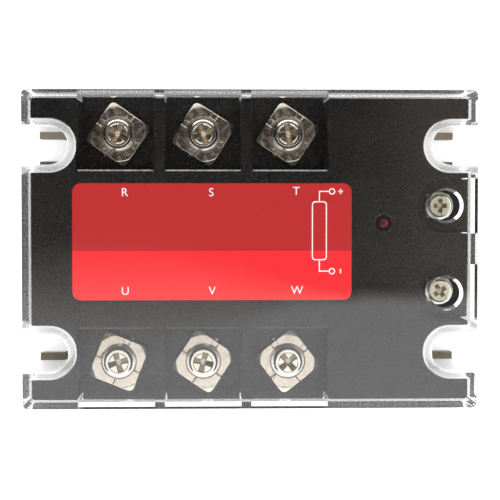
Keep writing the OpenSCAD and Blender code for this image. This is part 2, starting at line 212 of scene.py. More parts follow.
class Look:
    """A procedural material: a Principled shader fed by textures in the object's own space."""

    def __init__(self, name, metallic=0.0, **inputs):
        self.mat = bpy.data.materials.new(name)
        self.mat.use_nodes = True
        self.nodes = self.mat.node_tree.nodes
        self.links = self.mat.node_tree.links
        self.shader = self.nodes["Principled BSDF"]
        self.shader.inputs["Metallic"].default_value = metallic
        for key, value in inputs.items():
            self.shader.inputs[key.replace("_", " ")].default_value = value
        self.space = self.nodes.new("ShaderNodeTexCoord").outputs["Object"]

    def join(self, output, target):
        self.links.new(output, target)

    def stretch(self, scale, turn=0.0):
        """Object coordinates scaled by a vector and turned about Z, for streaks."""
        node = self.nodes.new("ShaderNodeMapping")
        node.inputs["Scale"].default_value = scale
        node.inputs["Rotation"].default_value = (0, 0, math.radians(turn))
        self.join(self.space, node.inputs["Vector"])
        return node.outputs["Vector"]

    def noise(self, size, detail=3.0, space=None, distortion=0.0):
        """Noise with features of about size millimetres."""
        node = self.nodes.new("ShaderNodeTexNoise")
        node.inputs["Scale"].default_value = 1 / (size * MM)
        node.inputs["Detail"].default_value = detail
        node.inputs["Distortion"].default_value = distortion
        self.join(space or self.space, node.inputs["Vector"])
        return node.outputs["Fac"]

    def spots(self, size, share):
        """1 in small round spots that lie size millimetres apart, 0 elsewhere."""
        node = self.nodes.new("ShaderNodeTexVoronoi")
        node.inputs["Scale"].default_value = 1 / (size * MM)
        self.join(self.space, node.inputs["Vector"])
        return self.scaled(node.outputs["Distance"], 0.0, share, 1.0, 0.0)

    def scaled(self, value, from_low, from_high, low, high):
        node = self.nodes.new("ShaderNodeMapRange")
        node.interpolation_type = "SMOOTHSTEP"
        keys = ("From Min", "From Max", "To Min", "To Max")
        for key, number in zip(keys, (from_low, from_high, low, high)):
            node.inputs[key].default_value = number
        self.join(value, node.inputs["Value"])
        return node.outputs["Result"]

    def math(self, operation, a, b):
        node = self.nodes.new("ShaderNodeMath")
        node.operation = operation
        for socket, value in zip(node.inputs, (a, b)):
            if isinstance(value, (int, float)):
                socket.default_value = value
            else:
                self.join(value, socket)
        return node.outputs["Value"]

    def mixed(self, factor, first, second):
        """Blend of two colours, or of colour outputs, by a factor output."""
        node = self.nodes.new("ShaderNodeMix")
        node.data_type = "RGBA"
        self.join(factor, node.inputs["Factor"])
        for socket, value in zip((node.inputs[6], node.inputs[7]), (first, second)):
            if isinstance(value, tuple):
                socket.default_value = (*value, 1)
            else:
                self.join(value, socket)
        return node.outputs[2]

    def shaded(self, kind, color):
        """Output of a plain shader node such as BsdfTranslucent or Emission."""
        node = self.nodes.new("ShaderNode" + kind)
        node.inputs["Color"].default_value = (*color, 1)
        return node.outputs[0]

    def blend(self, factor, first, second):
        """Blend of two shader outputs."""
        node = self.nodes.new("ShaderNodeMixShader")
        for socket, value in zip(node.inputs, (factor, first, second)):
            self.join(value, socket)
        return node.outputs["Shader"]

    def added(self, first, second):
        """Sum of two shader outputs."""
        node = self.nodes.new("ShaderNodeAddShader")
        for socket, value in zip(node.inputs, (first, second)):
            self.join(value, socket)
        return node.outputs["Shader"]

    def tint(self, output):
        self.join(output, self.shader.inputs["Base Color"])
        return self

    def rough(self, source, low, high):
        """Roughness that runs from low to high with a texture."""
        self.join(self.scaled(source, 0.3, 0.7, low, high), self.shader.inputs["Roughness"])
        return self

    def bump(self, height, depth):
        """Surface relief of depth millimetres."""
        node = self.nodes.new("ShaderNodeBump")
        node.inputs["Distance"].default_value = depth * MM
        before = self.shader.inputs["Normal"].links
        if before:
            self.join(before[0].from_socket, node.inputs["Normal"])
        self.join(height, node.inputs["Height"])
        self.join(node.outputs["Normal"], self.shader.inputs["Normal"])
        return self


def plain_look(name, dark, light, size, rough, relief=0.01, grain=0.3, metallic=0.0, **inputs):
    """Moulded, fired or plated surface: two tones in soft patches, a fine grain and uneven gloss."""
    look = Look(name, metallic, **inputs)
    patches = look.noise(size)
    fine = look.noise(grain, 2.0)
    look.tint(look.mixed(look.scaled(patches, 0.35, 0.65, 0.0, 1.0), dark, light))
    look.rough(patches, *rough)
    look.bump(fine, relief)
    return look.mat


def housing_look():
    """Black moulding with a little dust, and a painted highlight: a light grey line along the bays' inner
    upper edges, strongest at +Y.
    """
    look = Look("housing_black", Specular_IOR_Level=0.5)
    patches = look.noise(12.0, 2.0)
    fine = look.noise(0.5, 2.0)
    dusty = look.scaled(look.noise(6.0), 0.45, 0.62, 0.0, 1.0)
    dust = look.math("MULTIPLY", look.spots(1.7, 0.09), dusty)
    black = look.mixed(look.scaled(patches, 0.35, 0.7, 0.0, 1.0),
                       (0.004, 0.0036, 0.0036), (0.008, 0.0072, 0.0068))
    black = look.mixed(dust, black, (0.10, 0.095, 0.09))
    xyz = look.nodes.new("ShaderNodeSeparateXYZ")
    look.join(look.space, xyz.inputs["Vector"])
    side = look.math("ABSOLUTE", xyz.outputs["Y"], 0.0)
    inner = look.scaled(side, (BAY_WALL_Y - 0.4) * MM, (BAY_WALL_Y - 0.2) * MM, 0.0, 1.0)
    outer = look.scaled(side, BAY_WALL_Y * MM, (BAY_WALL_Y + 0.1) * MM, 1.0, 0.0)
    rim = look.scaled(xyz.outputs["Z"], 29.2 * MM, 29.5 * MM, 0.0, 1.0)
    bays = 0.0
    for p in "rst":
        away = look.math("SUBTRACT", xyz.outputs["X"], POWER_AT[p].x * MM)
        away = look.math("ABSOLUTE", away, 0.0)
        bay = look.scaled(away, (BAY_W / 2 - 0.6) * MM, BAY_W / 2 * MM, 1.0, 0.0)
        bays = look.math("ADD", bay, bays)
    uneven = look.scaled(look.noise(1.2), 0.35, 0.6, 0.5, 1.0)
    # The painted highlight is full on the +Y side and faint at -Y, away from the light.
    highlight_side = look.scaled(xyz.outputs["Y"], -1 * MM, 1 * MM, 0.12, 1.0)
    # Painted highlight: light grey along the bays' inner upper edges, where the rounded edge catches the
    # light.
    painted_edge_highlight = inner
    for part in (outer, rim, uneven, bays, highlight_side):
        painted_edge_highlight = look.math("MULTIPLY", painted_edge_highlight, part)
    look.tint(look.mixed(painted_edge_highlight, black, (0.42, 0.41, 0.40)))
    look.rough(fine, 0.25, 0.29)
    return look.bump(fine, 0.0015).mat


def cover_look(name, frost, scatter_color=(1, 1, 1), painted_glow=0.0):
    """Clear polycarbonate, frosted where the mould was left rough; lamps light what is under it
    without waiting for caustics. The last argument is painted light: an emission on the frosted part, in
    place of light that reaches a frosted wall through the cover."""
    look = Look(name, Base_Color=(0.985, 0.99, 0.995, 1), Transmission_Weight=1.0, IOR=1.58,
                Roughness=0.2 if frost > 0.5 else 0.0)
    look.bump(look.noise(11.0, 1.0), 0.01)
    surface = look.shader.outputs["BSDF"]
    if frost:
        half = tuple(value / 2 for value in scatter_color)
        scatter = look.added(look.shaded("BsdfTranslucent", half), look.shaded("BsdfDiffuse", half))
        # Painted light: an emission on the frosted part, standing in for light that reaches the wall
        # through the cover.
        scatter = look.added(scatter, look.shaded("Emission", (painted_glow, painted_glow, painted_glow)))
        grain = look.scaled(look.noise(0.45, 3.0), 0.3, 0.7, frost - 0.15, frost + 0.15)
        surface = look.blend(grain, surface, scatter)
    path = look.nodes.new("ShaderNodeLightPath")
    direct = look.math("MAXIMUM", path.outputs["Is Shadow Ray"], path.outputs["Is Diffuse Ray"])
    surface = look.blend(direct, surface, look.shaded("BsdfTransparent", (0.93, 0.94, 0.95)))
    look.join(surface, look.nodes["Material Output"].inputs["Surface"])
    return look.mat


def label_look(split_y):
    """Printed film in two reds, the lighter one below split_y."""
    look = Look("printed_film", Specular_IOR_Level=0.35)
    xyz = look.nodes.new("ShaderNodeSeparateXYZ")
    look.join(look.space, xyz.inputs["Vector"])
    lower = look.scaled(xyz.outputs["Y"], (split_y - 0.06) * MM, (split_y + 0.06) * MM, 1.0, 0.0)
    fibre = look.noise(0.5, 4.0)
    deep = look.mixed(fibre, (0.40, 0.010, 0.010), (0.47, 0.014, 0.014))
    light = look.mixed(fibre, (0.76, 0.012, 0.018), (0.84, 0.018, 0.024))
    speckled = look.scaled(look.noise(5.0), 0.5, 0.62, 0.0, 0.5)
    specks = look.math("MULTIPLY", look.spots(1.3, 0.10), speckled)
    look.tint(look.mixed(specks, look.mixed(lower, deep, light), (0.9, 0.45, 0.45)))
    look.rough(look.noise(7.0), 0.34, 0.5)
    return look.bump(look.noise(0.4, 2.0), 0.006).mat


def plated_look(name, low, high, stain, rough=(0.08, 0.2), relief=0.001, recess=None):
    """Nickel-plated steel: slightly uneven, with warmer stains and fine marks. recess is the height
    in millimetres under which, and the radius within which, the recess is darkened to brown as painted
    shade."""
    look = Look(name, 1.0)
    clouds = look.noise(1.6, 4.0)
    marks = look.noise(0.6, 1.0, look.stretch((1, 0.16, 1), 30))
    metal = look.mixed(look.scaled(clouds, 0.35, 0.65, 0.0, 1.0), low, high)
    metal = look.mixed(look.scaled(look.noise(2.6, 3.0), 0.5, 0.75, 0.0, 0.7), metal, stain)
    # Painted shade: dark brown inside the head's recess below its rim, with the very centre left light.
    if recess:
        xyz = look.nodes.new("ShaderNodeSeparateXYZ")
        look.join(look.space, xyz.inputs["Vector"])
        height, radius = recess
        squares = [look.math("MULTIPLY", xyz.outputs[axis], xyz.outputs[axis]) for axis in "XY"]
        out = look.math("POWER", look.math("ADD", *squares), 0.5)
        inside = look.scaled(out, (radius - 0.1) * MM, radius * MM, 1.0, 0.0)
        deep = look.scaled(xyz.outputs["Z"], (height - 0.55) * MM, (height - 0.25) * MM, 1.0, 0.0)
        ring = look.scaled(out, 0.35 * MM, 0.8 * MM, 0.0, 1.0)
        painted_recess_shade = look.math("MULTIPLY", look.math("MULTIPLY", inside, ring), deep)
        metal = look.mixed(painted_recess_shade, metal, (0.26, 0.19, 0.11))
    look.tint(metal)
    look.rough(clouds, *rough)
    look.bump(marks, relief)
    return look.bump(look.noise(2.5, 1.0), relief * 2).mat


def base_metal_look():
    """Ground metal with streaks along X."""
    look = Look("ground_metal", 1.0)
    streaks = look.noise(0.5, 4.0, look.stretch((0.05, 1, 1)))
    look.tint(look.mixed(look.scaled(look.noise(6.0), 0.3, 0.7, 0.0, 1.0),
                         (0.21, 0.175, 0.133), (0.31, 0.265, 0.215)))
    look.rough(streaks, 0.28, 0.5)
    return look.bump(streaks, 0.02).mat


def board_look():
    """Green solder mask with copper tracks that show faintly through it."""
    look = Look("solder_mask", Coat_Weight=0.3, Coat_Roughness=0.2)
    bricks = look.nodes.new("ShaderNodeTexBrick")
    bricks.inputs["Scale"].default_value = 60
    bricks.inputs["Mortar Size"].default_value = 0.03
    look.join(look.space, bricks.inputs["Vector"])
    look.tint(look.mixed(bricks.outputs["Fac"], (0.02, 0.14, 0.05), (0.05, 0.27, 0.10)))
    look.rough(look.noise(3.0), 0.3, 0.45)
    return look.bump(bricks.outputs["Fac"], 0.03).mat


# Moulded, fired and printed parts: slot, material, dark and light tone, patch size in mm,
# lowest and highest roughness, other settings
PLAIN = (
    ("led_plastic", "red_epoxy", (0.03, 0.0005, 0.001), (0.09, 0.0006, 0.002), 1.5, (0.10, 0.2),
     {"relief": 0.004}),
    ("opto_body", "opto_epoxy", (0.70, 0.70, 0.66), (0.82, 0.82, 0.78), 2.0, (0.5, 0.65), {}),
    ("resistor_body", "resistor_cement", (0.42, 0.34, 0.24), (0.52, 0.44, 0.33), 1.5, (0.7, 0.9),
     {"relief": 0.04}),
    ("capacitor_body", "capacitor_case", (0.60, 0.47, 0.12), (0.70, 0.57, 0.18), 3.0, (0.35, 0.5), {}),
    ("smd_body", "chip_resistor", (0.03, 0.03, 0.035), (0.06, 0.06, 0.06), 0.8, (0.4, 0.6), {}),
    ("transistor_body", "transistor_epoxy", (0.012, 0.012, 0.013), (0.03, 0.03, 0.03), 1.0, (0.45, 0.6),
     {}),
    ("diode_body", "diode_epoxy", (0.02, 0.02, 0.02), (0.05, 0.045, 0.04), 1.0, (0.4, 0.55), {}),
    ("film_resistor_body", "film_resistor", (0.16, 0.32, 0.48), (0.22, 0.40, 0.58), 1.0, (0.35, 0.5), {}),
    ("substrate_ceramic", "alumina", (0.80, 0.79, 0.75), (0.88, 0.87, 0.84), 4.0, (0.55, 0.7),
     {"relief": 0.006}),
    ("chip_silicon", "silicon", (0.14, 0.15, 0.18), (0.20, 0.21, 0.25), 2.0, (0.2, 0.3),
     {"metallic": 0.8}),
    ("potting_silicone", "potting_gel", (0.60, 0.66, 0.68), (0.72, 0.78, 0.80), 12.0, (0.15, 0.3),
     {"relief": 0.02, "Transmission_Weight": 0.35}),
)
# Plated and bare metal: slot, material, two tones, stain, other settings
PLATED = (
    ("tinned_wire", "tinned_wire", (0.62, 0.62, 0.60), (0.72, 0.72, 0.70), (0.55, 0.54, 0.50), {}),
    ("screw_nickel", "screw_nickel", (0.86, 0.83, 0.72), (0.96, 0.94, 0.85), (0.78, 0.70, 0.55),
     {"recess": (HEAD_H, DARK_R)}),
    ("washer_nickel", "washer_nickel", (0.84, 0.82, 0.78), (0.94, 0.92, 0.89), (0.72, 0.66, 0.58), {}),
    ("clamp_nickel", "clamp_nickel", (0.77, 0.69, 0.57), (0.90, 0.82, 0.71), (0.70, 0.56, 0.44),
     {"rough": (0.10, 0.24)}),
    ("terminal_copper", "tinned_copper", (0.60, 0.57, 0.50), (0.72, 0.69, 0.62), (0.50, 0.42, 0.33), {}),
    ("nut_steel", "zinc_plated", (0.50, 0.52, 0.54), (0.62, 0.63, 0.64), (0.45, 0.43, 0.38),
     {"rough": (0.3, 0.5)}),
    ("pad_copper", "bare_copper", (0.62, 0.30, 0.17), (0.74, 0.40, 0.25), (0.45, 0.22, 0.14),
     {"rough": (0.3, 0.5)}),
)
LOOKS = {
    "housing_plastic": housing_look(),
    "clear_cover": cover_look("clear_polycarbonate", 0.0),
    "label_print": label_look(split_y=-2.1),
    "base_metal": base_metal_look(),
    "board_laminate": board_look(),
}
for make, rows in ((plain_look, PLAIN), (plated_look, PLATED)):
    for slot, *values, settings in rows:
        LOOKS[slot] = make(*values, **settings)

for node, slot in SLOT_OF.items():
    slots = NODES[node].data.materials
    slots.clear()
    slots.append(LOOKS[slot])

# ---------- clear cover ----------


def cover_outline(offset, gates):
    """Plan of the cover moved in by offset, as (x, y, foot): foot is the wall's lowest height
    from that point to the next. The points match one to one for every offset."""
    half_x = COVER_HIGH.x - offset
    half_y = COVER_HIGH.y - offset
    corner = COVER_CORNER_R - offset * 0.4
    liner = NOTCH_LINER_R + offset

    def end_wall(gate_spans):
        """Points up the end at +X, from the lower corner to the upper one."""
        points = []
        for y in (-NOTCH_AT.y, NOTCH_AT.y):
            if y > 0:
                for low, high in gate_spans:
                    points += [(half_x, low, GATE_TOP), (half_x, high, FLANGE_TOP)]
            points.append((half_x, y - liner, LINER_FOOT))
            bend = list(arc((NOTCH_AT.x, y), liner, 270, 90, 28))
            points += [(x, v, LINER_FOOT) for x, v in bend]
            points.append((half_x, y + liner, FLANGE_TOP))
        return points

    def long_wall(spans):
        """Points along the side at +Y, towards -X."""
        points = []
        for low, high in spans:
            points += [(high, half_y, GATE_TOP), (low, half_y, FLANGE_TOP)]
        return points

    def corner_at(sx, sy, start):
        centre = (sx * (half_x - corner), sy * (half_y - corner))
        return [(x, y, FLANGE_TOP) for x, y in arc(centre, corner, start, start + 90, 6)]

    def mirrored(points):
        """The same stretch turned by half a turn."""
        return [(-x, -y, foot) for x, y, foot in points]

    return (end_wall(gates["end"]) + corner_at(1, 1, 0)
            + long_wall(gates["side"]) + corner_at(-1, 1, 90)
            + mirrored(end_wall([])) + corner_at(-1, -1, 180)
            + mirrored(long_wall(gates["other_side"])) + corner_at(1, -1, 270))


def cover_mesh():
    """One closed shell: top plate with two holes, skirt with gates, and four notch liners.
    Material 0 is clear, 1 the notch liners, 2 the skirt's foot, 3 the gates' upper edge at +Y, grey as
    painted shade."""
    bays = sorted((POWER_AT[p].x - BAY_W / 2, POWER_AT[p].x + BAY_W / 2) for p in "rst")
    gates = {
        "end": sorted((CONTROL_AT[p].y - CONTROL_GATE_W / 2, CONTROL_AT[p].y + CONTROL_GATE_W / 2)
                      for p in POLES),
        "side": bays[::-1],
        "other_side": [(-high, -low) for low, high in bays],
    }
    outer, inner = cover_outline(0, gates), cover_outline(COVER_T, gates)
    top, ceiling = COVER_HIGH.z, COVER_HIGH.z - COVER_T
    levels = [LINER_FOOT, FLANGE_TOP, GATE_TOP]
    line_side_y = COVER_HIGH.y - 1
    count = len(outer)
    bm = bmesh.new()
    cache = {}

    def vert(x, y, z):
        key = (round(x, 5), round(y, 5), round(z, 5))
        if key not in cache:
            cache[key] = bm.verts.new(Vector(key) * MM)
        return cache[key]

    def face(*points, material=0):
        corners = [vert(*p) for p in points]
        if len(set(corners)) == len(corners):
            bm.faces.new(corners).material_index = material

    for i in range(count):
        j = (i + 1) % count
        foot = outer[i][2]
        for ring, last in ((outer, top), (inner, ceiling)):
            (x0, y0, _), (x1, y1, _) = ring[i], ring[j]
            if math.dist((x0, y0), (x1, y1)) < 1e-6:
                continue
            stops = [z for z in levels if z >= foot] + [last]
            for low, high in zip(stops, stops[1:]):
                face((x0, y0, low), (x1, y1, low), (x1, y1, high), (x0, y0, high),
                     material=1 if foot == LINER_FOOT else 0)
        # At +Y the gates' upper edge gets painted shade: grey, for the shadowed floor seen through those
        # gates.
        gate_edge_shade = 3 if outer[i][1] > line_side_y else 0
        face((*outer[i][:2], foot), (*outer[j][:2], foot), (*inner[j][:2], foot), (*inner[i][:2], foot),
             material={LINER_FOOT: 1, FLANGE_TOP: 2}.get(foot, gate_edge_shade))
        before = outer[i - 1][2]
        low, high = min(before, foot), max(before, foot)
        stops = [z for z in levels if low <= z <= high]
        for a, b in zip(stops, stops[1:]):
            face((*outer[i][:2], a), (*inner[i][:2], a), (*inner[i][:2], b), (*outer[i][:2], b))

    def rim(points, z):
        """Closed loop of edges through points at height z."""
        loop = [vert(x, y, z) for x, y in points]
        return [bm.edges.get((a, b)) or bm.edges.new((a, b))
                for a, b in zip(loop, loop[1:] + loop[:1]) if a != b]

    edges = {top: rim([p[:2] for p in outer], top), ceiling: rim([p[:2] for p in inner], ceiling)}
    steps = 48
    for pole in POLES:
        centre = CONTROL_AT[pole]
        rings = {top: list(arc(centre, ACCESS_R + ACCESS_FLARE, 0, 360, steps))[:-1],
                 ceiling: list(arc(centre, ACCESS_R, 0, 360, steps))[:-1]}
        for z, points in rings.items():
            edges[z] += rim(points, z)
        for k in range(steps):
            n = (k + 1) % steps
            face((*rings[top][k], top), (*rings[top][n], top), (*rings[ceiling][n], ceiling),
                 (*rings[ceiling][k], ceiling))
    for z in (top, ceiling):
        bmesh.ops.triangle_fill(bm, use_beauty=True, use_dissolve=False, edges=edges[z])
    bmesh.ops.recalc_face_normals(bm, faces=bm.faces)
    mesh = bpy.data.meshes.new("clear_cover")
    bm.to_mesh(mesh)
    bm.free()
    mesh.shade_smooth()
    mesh.set_sharp_from_angle(angle=math.radians(30))
    return mesh


cover_shape = cover_mesh()
# The notch liners' material has a painted glow: an emission standing in for light through the cover.
for look in (LOOKS["clear_cover"], cover_look("liner_polycarbonate", 0.7, (1.0, 1.0, 1.0), 0.4),
             cover_look("foot_polycarbonate", 0.35, (0.9, 0.9, 0.9)),
             # Painted shade: the +Y gate edges' material is grey, standing in for the shadowed floor
             # behind them.
             cover_look("painted_shade_polycarbonate", 0.7, (0.2, 0.2, 0.2))):
    cover_shape.materials.append(look)
cover = add_piece("clear_cover", cover_shape, LOOKS["clear_cover"], "cover", ["cover"])
bevel(cover, COVER_EDGE, segments=3, angle=50)

# ---------- power terminals ----------


def cross_recess(x, y, reach, width, depth):
    """Depth of a cross recess at (x, y): four arms, wider outwards, with floors that slope to a pit."""
    deepest = 0.0
    for along, across in ((abs(x), abs(y)), (abs(y), abs(x))):
        half = width * (0.34 + 0.16 * along / reach)
        beside = soft_step(across, half - 0.09, half + 0.09)
        beyond = soft_step(along, reach - 0.1, reach + 0.1)
        deepest = max(deepest, (1 - beside) * (1 - beyond) * depth * (1 - 0.6 * along / reach))
    pit = depth * 1.25 * (1 - soft_step(math.hypot(x, y), 0.0, 0.9))
    return max(deepest, pit)


SHOULDER = 30              # tilt at which a head's shoulder leaves its flat middle, in degrees


def pan_head_section(radius, height, flat, relief, step=0.06):
    """Section function of a screw head: flat middle with relief, rolled shoulder, flat bearing face."""
    radii = [step * k for k in range(round(flat / step))] + [flat]
    roll = (radius - flat) / (1 - math.sin(math.radians(SHOULDER)))
    top = height - roll * math.cos(math.radians(SHOULDER))
    shoulder = [(radius - roll * (1 - math.sin(a)), top + roll * math.cos(a))
                for a in (math.radians(SHOULDER + (90 - SHOULDER) * k / 10) for k in range(1, 11))]

    def section(angle):
        c, s = math.cos(angle), math.sin(angle)
        points = [(r, z - relief(r * c, r * s)) for r, z in [(r, height) for r in radii] + shoulder]
        points += [(radius, 0.12), (radius - 0.12, 0.0), (0.0, 0.0)]
        return points
    return section


def shank_shell(radius, pitch, length, depth):
    """Threaded shank below z = 0, with a ridge that climbs one pitch each turn."""
    rows = int(length / pitch * 6)

    def section(angle):
        points = [(0.0, 0.1)]
        for k in range(rows + 1):
            z = -length * k / rows
            phase = (z / pitch - angle / TAU) % 1.0
            ridge = abs(phase - 0.5) * 2
            taper = soft_step(-z, length - 0.8, length)
            points.append((radius - depth * ridge * (z < -0.3) - 0.35 * taper, z))
        return points + [(0.0, -length)]
    return turned(section, 28)


def power_screw_mesh():
    """Screw with a cross in its head and a thin turned ring round it."""
    def relief(x, y):
        ring = 0.06 * math.exp(-((math.hypot(x, y) - 2.3) / 0.1) ** 2)
        return max(cross_recess(x, y, reach=2.3, width=1.3, depth=1.4), ring)
    head = pan_head_section(HEAD_R, HEAD_H, HEAD_FLAT, relief)
    shank = shank_shell(radius=1.95, pitch=0.7, length=8.0, depth=0.35)
    return mesh_of("power_screw", [turned(head, 240), shank], sharp=38)


CLAMP_HALF = 5.75          # half the plate's side
CLAMP_CORNER_R = 1.2
CLAMP_RIM = 1.7            # top of the plate above the strap
CLAMP_T = 1.0
FOLD_R = 6.5               # the corners bend down from here
CORNER_TILT = math.tan(math.radians(14))
DISH_DEPTH = 0.7
DISH_WALL = (4.08, 4.24)   # lower and upper radius of the dish's wall
HOLE_R = 2.2
FLAT_FROM = 4.85           # plain plate from this radius outwards


def square_reach(angle, half, corner):
    """Distance from the centre to the edge of a square with round corners."""
    c, s = abs(math.cos(angle)), abs(math.sin(angle))
    flat = half / max(c, s)
    if min(c, s) * flat <= half - corner:
        return flat
    centre = half - corner
    along = centre * (c + s)
    return along + math.sqrt(max(along ** 2 - 2 * centre ** 2 + corner ** 2, 0.0))


def clamp_height(r, angle):
    """Top of the clamp plate above its seat: dished centre, radial grooves and bent corners."""
    height = CLAMP_RIM - DISH_DEPTH * (1 - soft_step(r, *DISH_WALL))
    across = r * math.sin((angle + TAU / 8) % (TAU / 4) - TAU / 8)
    groove = 1 - soft_step(abs(across), 0.68, 0.80)
    height -= 0.2 * groove * soft_step(r, 4.2, 4.3)
    over = r - FOLD_R
    bend = 0.1 * math.log1p(math.exp(over / 0.1)) if over < 2 else over
    return height - CORNER_TILT * bend


def clamp_mesh():
    """Square clamp plate; its radii crowd together at the dish's wall and the grooves' ends."""
    fixed = [HOLE_R, 2.35, 2.6, 3.2, 3.8, 4.0, 4.06, 4.1, 4.13, 4.16, 4.19, 4.22, 4.26, 4.32, 4.45, 4.65,
             FLAT_FROM]
    steps = 20
    edge = 0.2

    def section(angle):
        reach = square_reach(angle, CLAMP_HALF, CLAMP_CORNER_R)
        outer = [FLAT_FROM + (reach - edge - FLAT_FROM) * k / steps for k in range(1, steps + 1)]
        top = [(r, clamp_height(r, angle)) for r in fixed + outer]
        lip = clamp_height(reach - edge, angle)
        drop = clamp_height(reach, angle) - lip
        round_over = [(reach - edge + edge * math.sin(a),
                       lip + drop * math.sin(a) - edge * (1 - math.cos(a)))
                      for a in (math.radians(30 * k) for k in range(1, 4))]
        foot = lip + drop - CLAMP_T + edge
        under = [(reach, foot), (reach - edge, foot - edge)]
        below = [HOLE_R, 3.0, 4.0, 4.4, 4.7] + outer[::2][:-1]
        under += [(r, clamp_height(r, angle) - CLAMP_T) for r in reversed(below)]
        return top + round_over + under
    return mesh_of("power_clamp", [turned(section, 288, closed=True)], sharp=50)


def spring_washer_mesh():
    """Split ring with rounded edges, its ends a little apart."""
    profile = rounded_ring(inner=2.15, outer=3.9, low=0.02, high=0.88, edge=0.04)
    gap = math.radians(7)
    ring = turned(lambda a: profile, 72, closed=True, start=gap, sweep=TAU - 2 * gap)
    return mesh_of("spring_washer", [ring], sharp=40)


power_screw, power_clamp, spring_washer = power_screw_mesh(), clamp_mesh(), spring_washer_mesh()
for p in PHASES:
    x, y, _ = POWER_AT[p]
    strap_top = span("power_terminal_" + p)[1].z
    washer_low = span("power_spring_washer_" + p)[0].z
    head_low = span("power_screw_" + p)[1].z - HEAD_H
    add_piece("clamp_plate_" + p, power_clamp, LOOKS["clamp_nickel"], "clamp_" + p,
              ["power_clamp_" + p], (x, y, strap_top), CLAMP_TURN[p])
    add_piece("spring_washer_" + p, spring_washer, LOOKS["washer_nickel"], "clamp_" + p,
              ["power_spring_washer_" + p], (x, y, washer_low), CLAMP_TURN[p] - 70)
    add_piece("terminal_screw_" + p, power_screw, LOOKS["screw_nickel"], "screw_" + p,
              ["power_screw_" + p], (x, y, head_low), RECESS_TURN[p])

# ---------- control terminals ----------


def control_screw_mesh():
    """Screw with a slot and a cross in its head."""
    def relief(x, y):
        slot = 0.7 * (1 - soft_step(abs(y), 0.32, 0.46))
        return max(slot, cross_recess(x, y, reach=1.5, width=1.0, depth=1.1))
    head = pan_head_section(CONTROL_HEAD_R, CONTROL_HEAD_H, CONTROL_HEAD_FLAT, relief, step=0.07)
    shank = shank_shell(radius=1.45, pitch=0.5, length=5.0, depth=0.25)
    return mesh_of("control_screw", [turned(head, 192), shank], sharp=38)


# The control heads' recesses get the same painted shade, out to CONTROL_DARK_R.
yellow_nickel = plated_look("yellow_nickel", (0.84, 0.79, 0.64), (0.96, 0.93, 0.80),
                            (0.70, 0.60, 0.42), rough=(0.28, 0.4),
                            recess=(CONTROL_HEAD_H, CONTROL_DARK_R))
control_screw = control_screw_mesh()
washer_profile = rounded_ring(inner=1.6, outer=3.4, low=0.02, high=0.58, edge=0.12)
control_washer = mesh_of("control_washer", [turned(lambda a: washer_profile, 72, closed=True)], sharp=40)
for pole in POLES:
    x, y, _ = CONTROL_AT[pole]
    head_low = span("control_screw_" + pole)[1].z - CONTROL_HEAD_H
    washer_low = span("control_washer_" + pole)[0].z
    add_piece("wire_washer_" + pole, control_washer, LOOKS["washer_nickel"], "control_washer_" + pole,
              ["control_washer_" + pole], (x, y, washer_low))
    add_piece("wire_screw_" + pole, control_screw, yellow_nickel, "control_screw_" + pole,
              ["control_screw_" + pole], (x, y, head_low), CONTROL_TURN[pole])

# ---------- label and indicator ----------

LABEL_CORNER_R = 2.0


def rounded_rectangle(half_x, half_y, radius, steps=8):
    points = []
    for sx, sy, start in ((1, 1, 0), (-1, 1, 90), (-1, -1, 180), (1, -1, 270)):
        centre = (sx * (half_x - radius), sy * (half_y - radius))
        points += list(arc(centre, radius, start, start + 90, steps))
    return points


def plate_shell(points, low, high, edge):
    """Flat plate with a small rounded upper edge, shrunk towards the outline's middle."""
    count = len(points)
    half = Vector((max(p[0] for p in points), max(p[1] for p in points)))
    verts = [(x, y, low) for x, y in points] + [(x, y, high - edge) for x, y in points]
    verts += [(x * (1 - edge / half.x), y * (1 - edge / half.y), high) for x, y in points]
    faces = [tuple(range(count)), tuple(range(2 * count, 3 * count))]
    for row in (0, count):
        faces += [(row + k, row + (k + 1) % count, row + count + (k + 1) % count, row + count + k)
                  for k in range(count)]
    return verts, faces


label_half = (LABEL_HIGH - LABEL_LOW) / 2
label_mid = (LABEL_HIGH + LABEL_LOW) / 2
label_plan = rounded_rectangle(label_half.x, label_half.y, LABEL_CORNER_R)
label_film = mesh_of("label_film", [plate_shell(label_plan, LABEL_LOW.z, LABEL_HIGH.z - 0.02, 0.05)])
add_piece("label_film", label_film, LOOKS["label_print"], "root", ["front_label"],
          (label_mid.x, label_mid.y, 0))

MARK_TOP = LABEL_HIGH.z - 0.005
MARK_T = 0.03
LETTER_H = 1.9
LETTERS = {"R": (-29.1, 13.1), "S": (-9.1, 13.1), "T": (10.6, 13.4),
           "U": (-29.0, -9.7), "V": (-8.9, -9.7), "W": (10.8, -9.6)}
# Input symbol: a box, a ring at each pole and the pole's sign beside it
SYMBOL_LOW, SYMBOL_HIGH, SYMBOL_CORNER_R = Vector((14.35, -2.45)), Vector((17.6, 11.0)), 0.7
RING_X, RING_PLUS_Y, RING_MINUS_Y = 18.9, 13.4, -5.1
RING_R, LEAD_GAP = 0.62, 0.75
SIGN_X = RING_X + 2.0
LINE_W, SIGN_W = 0.26, 0.32


def letter_mesh(letter):
    """Flat letter from the built-in font, centred, LETTER_H high."""
    curve = bpy.data.curves.new("letter", "FONT")
    curve.body = letter
    curve.size = LETTER_H / 0.7 * MM
    curve.extrude = MARK_T / 2 * MM
    curve.align_x, curve.align_y = "CENTER", "CENTER"
    curve.resolution_u = 6
    holder = bpy.data.objects.new("letter", curve)
    mesh = bpy.data.meshes.new_from_object(holder)
    bpy.data.objects.remove(holder)
    bpy.data.curves.remove(curve)
    mesh.name = "letter_" + letter
    return mesh


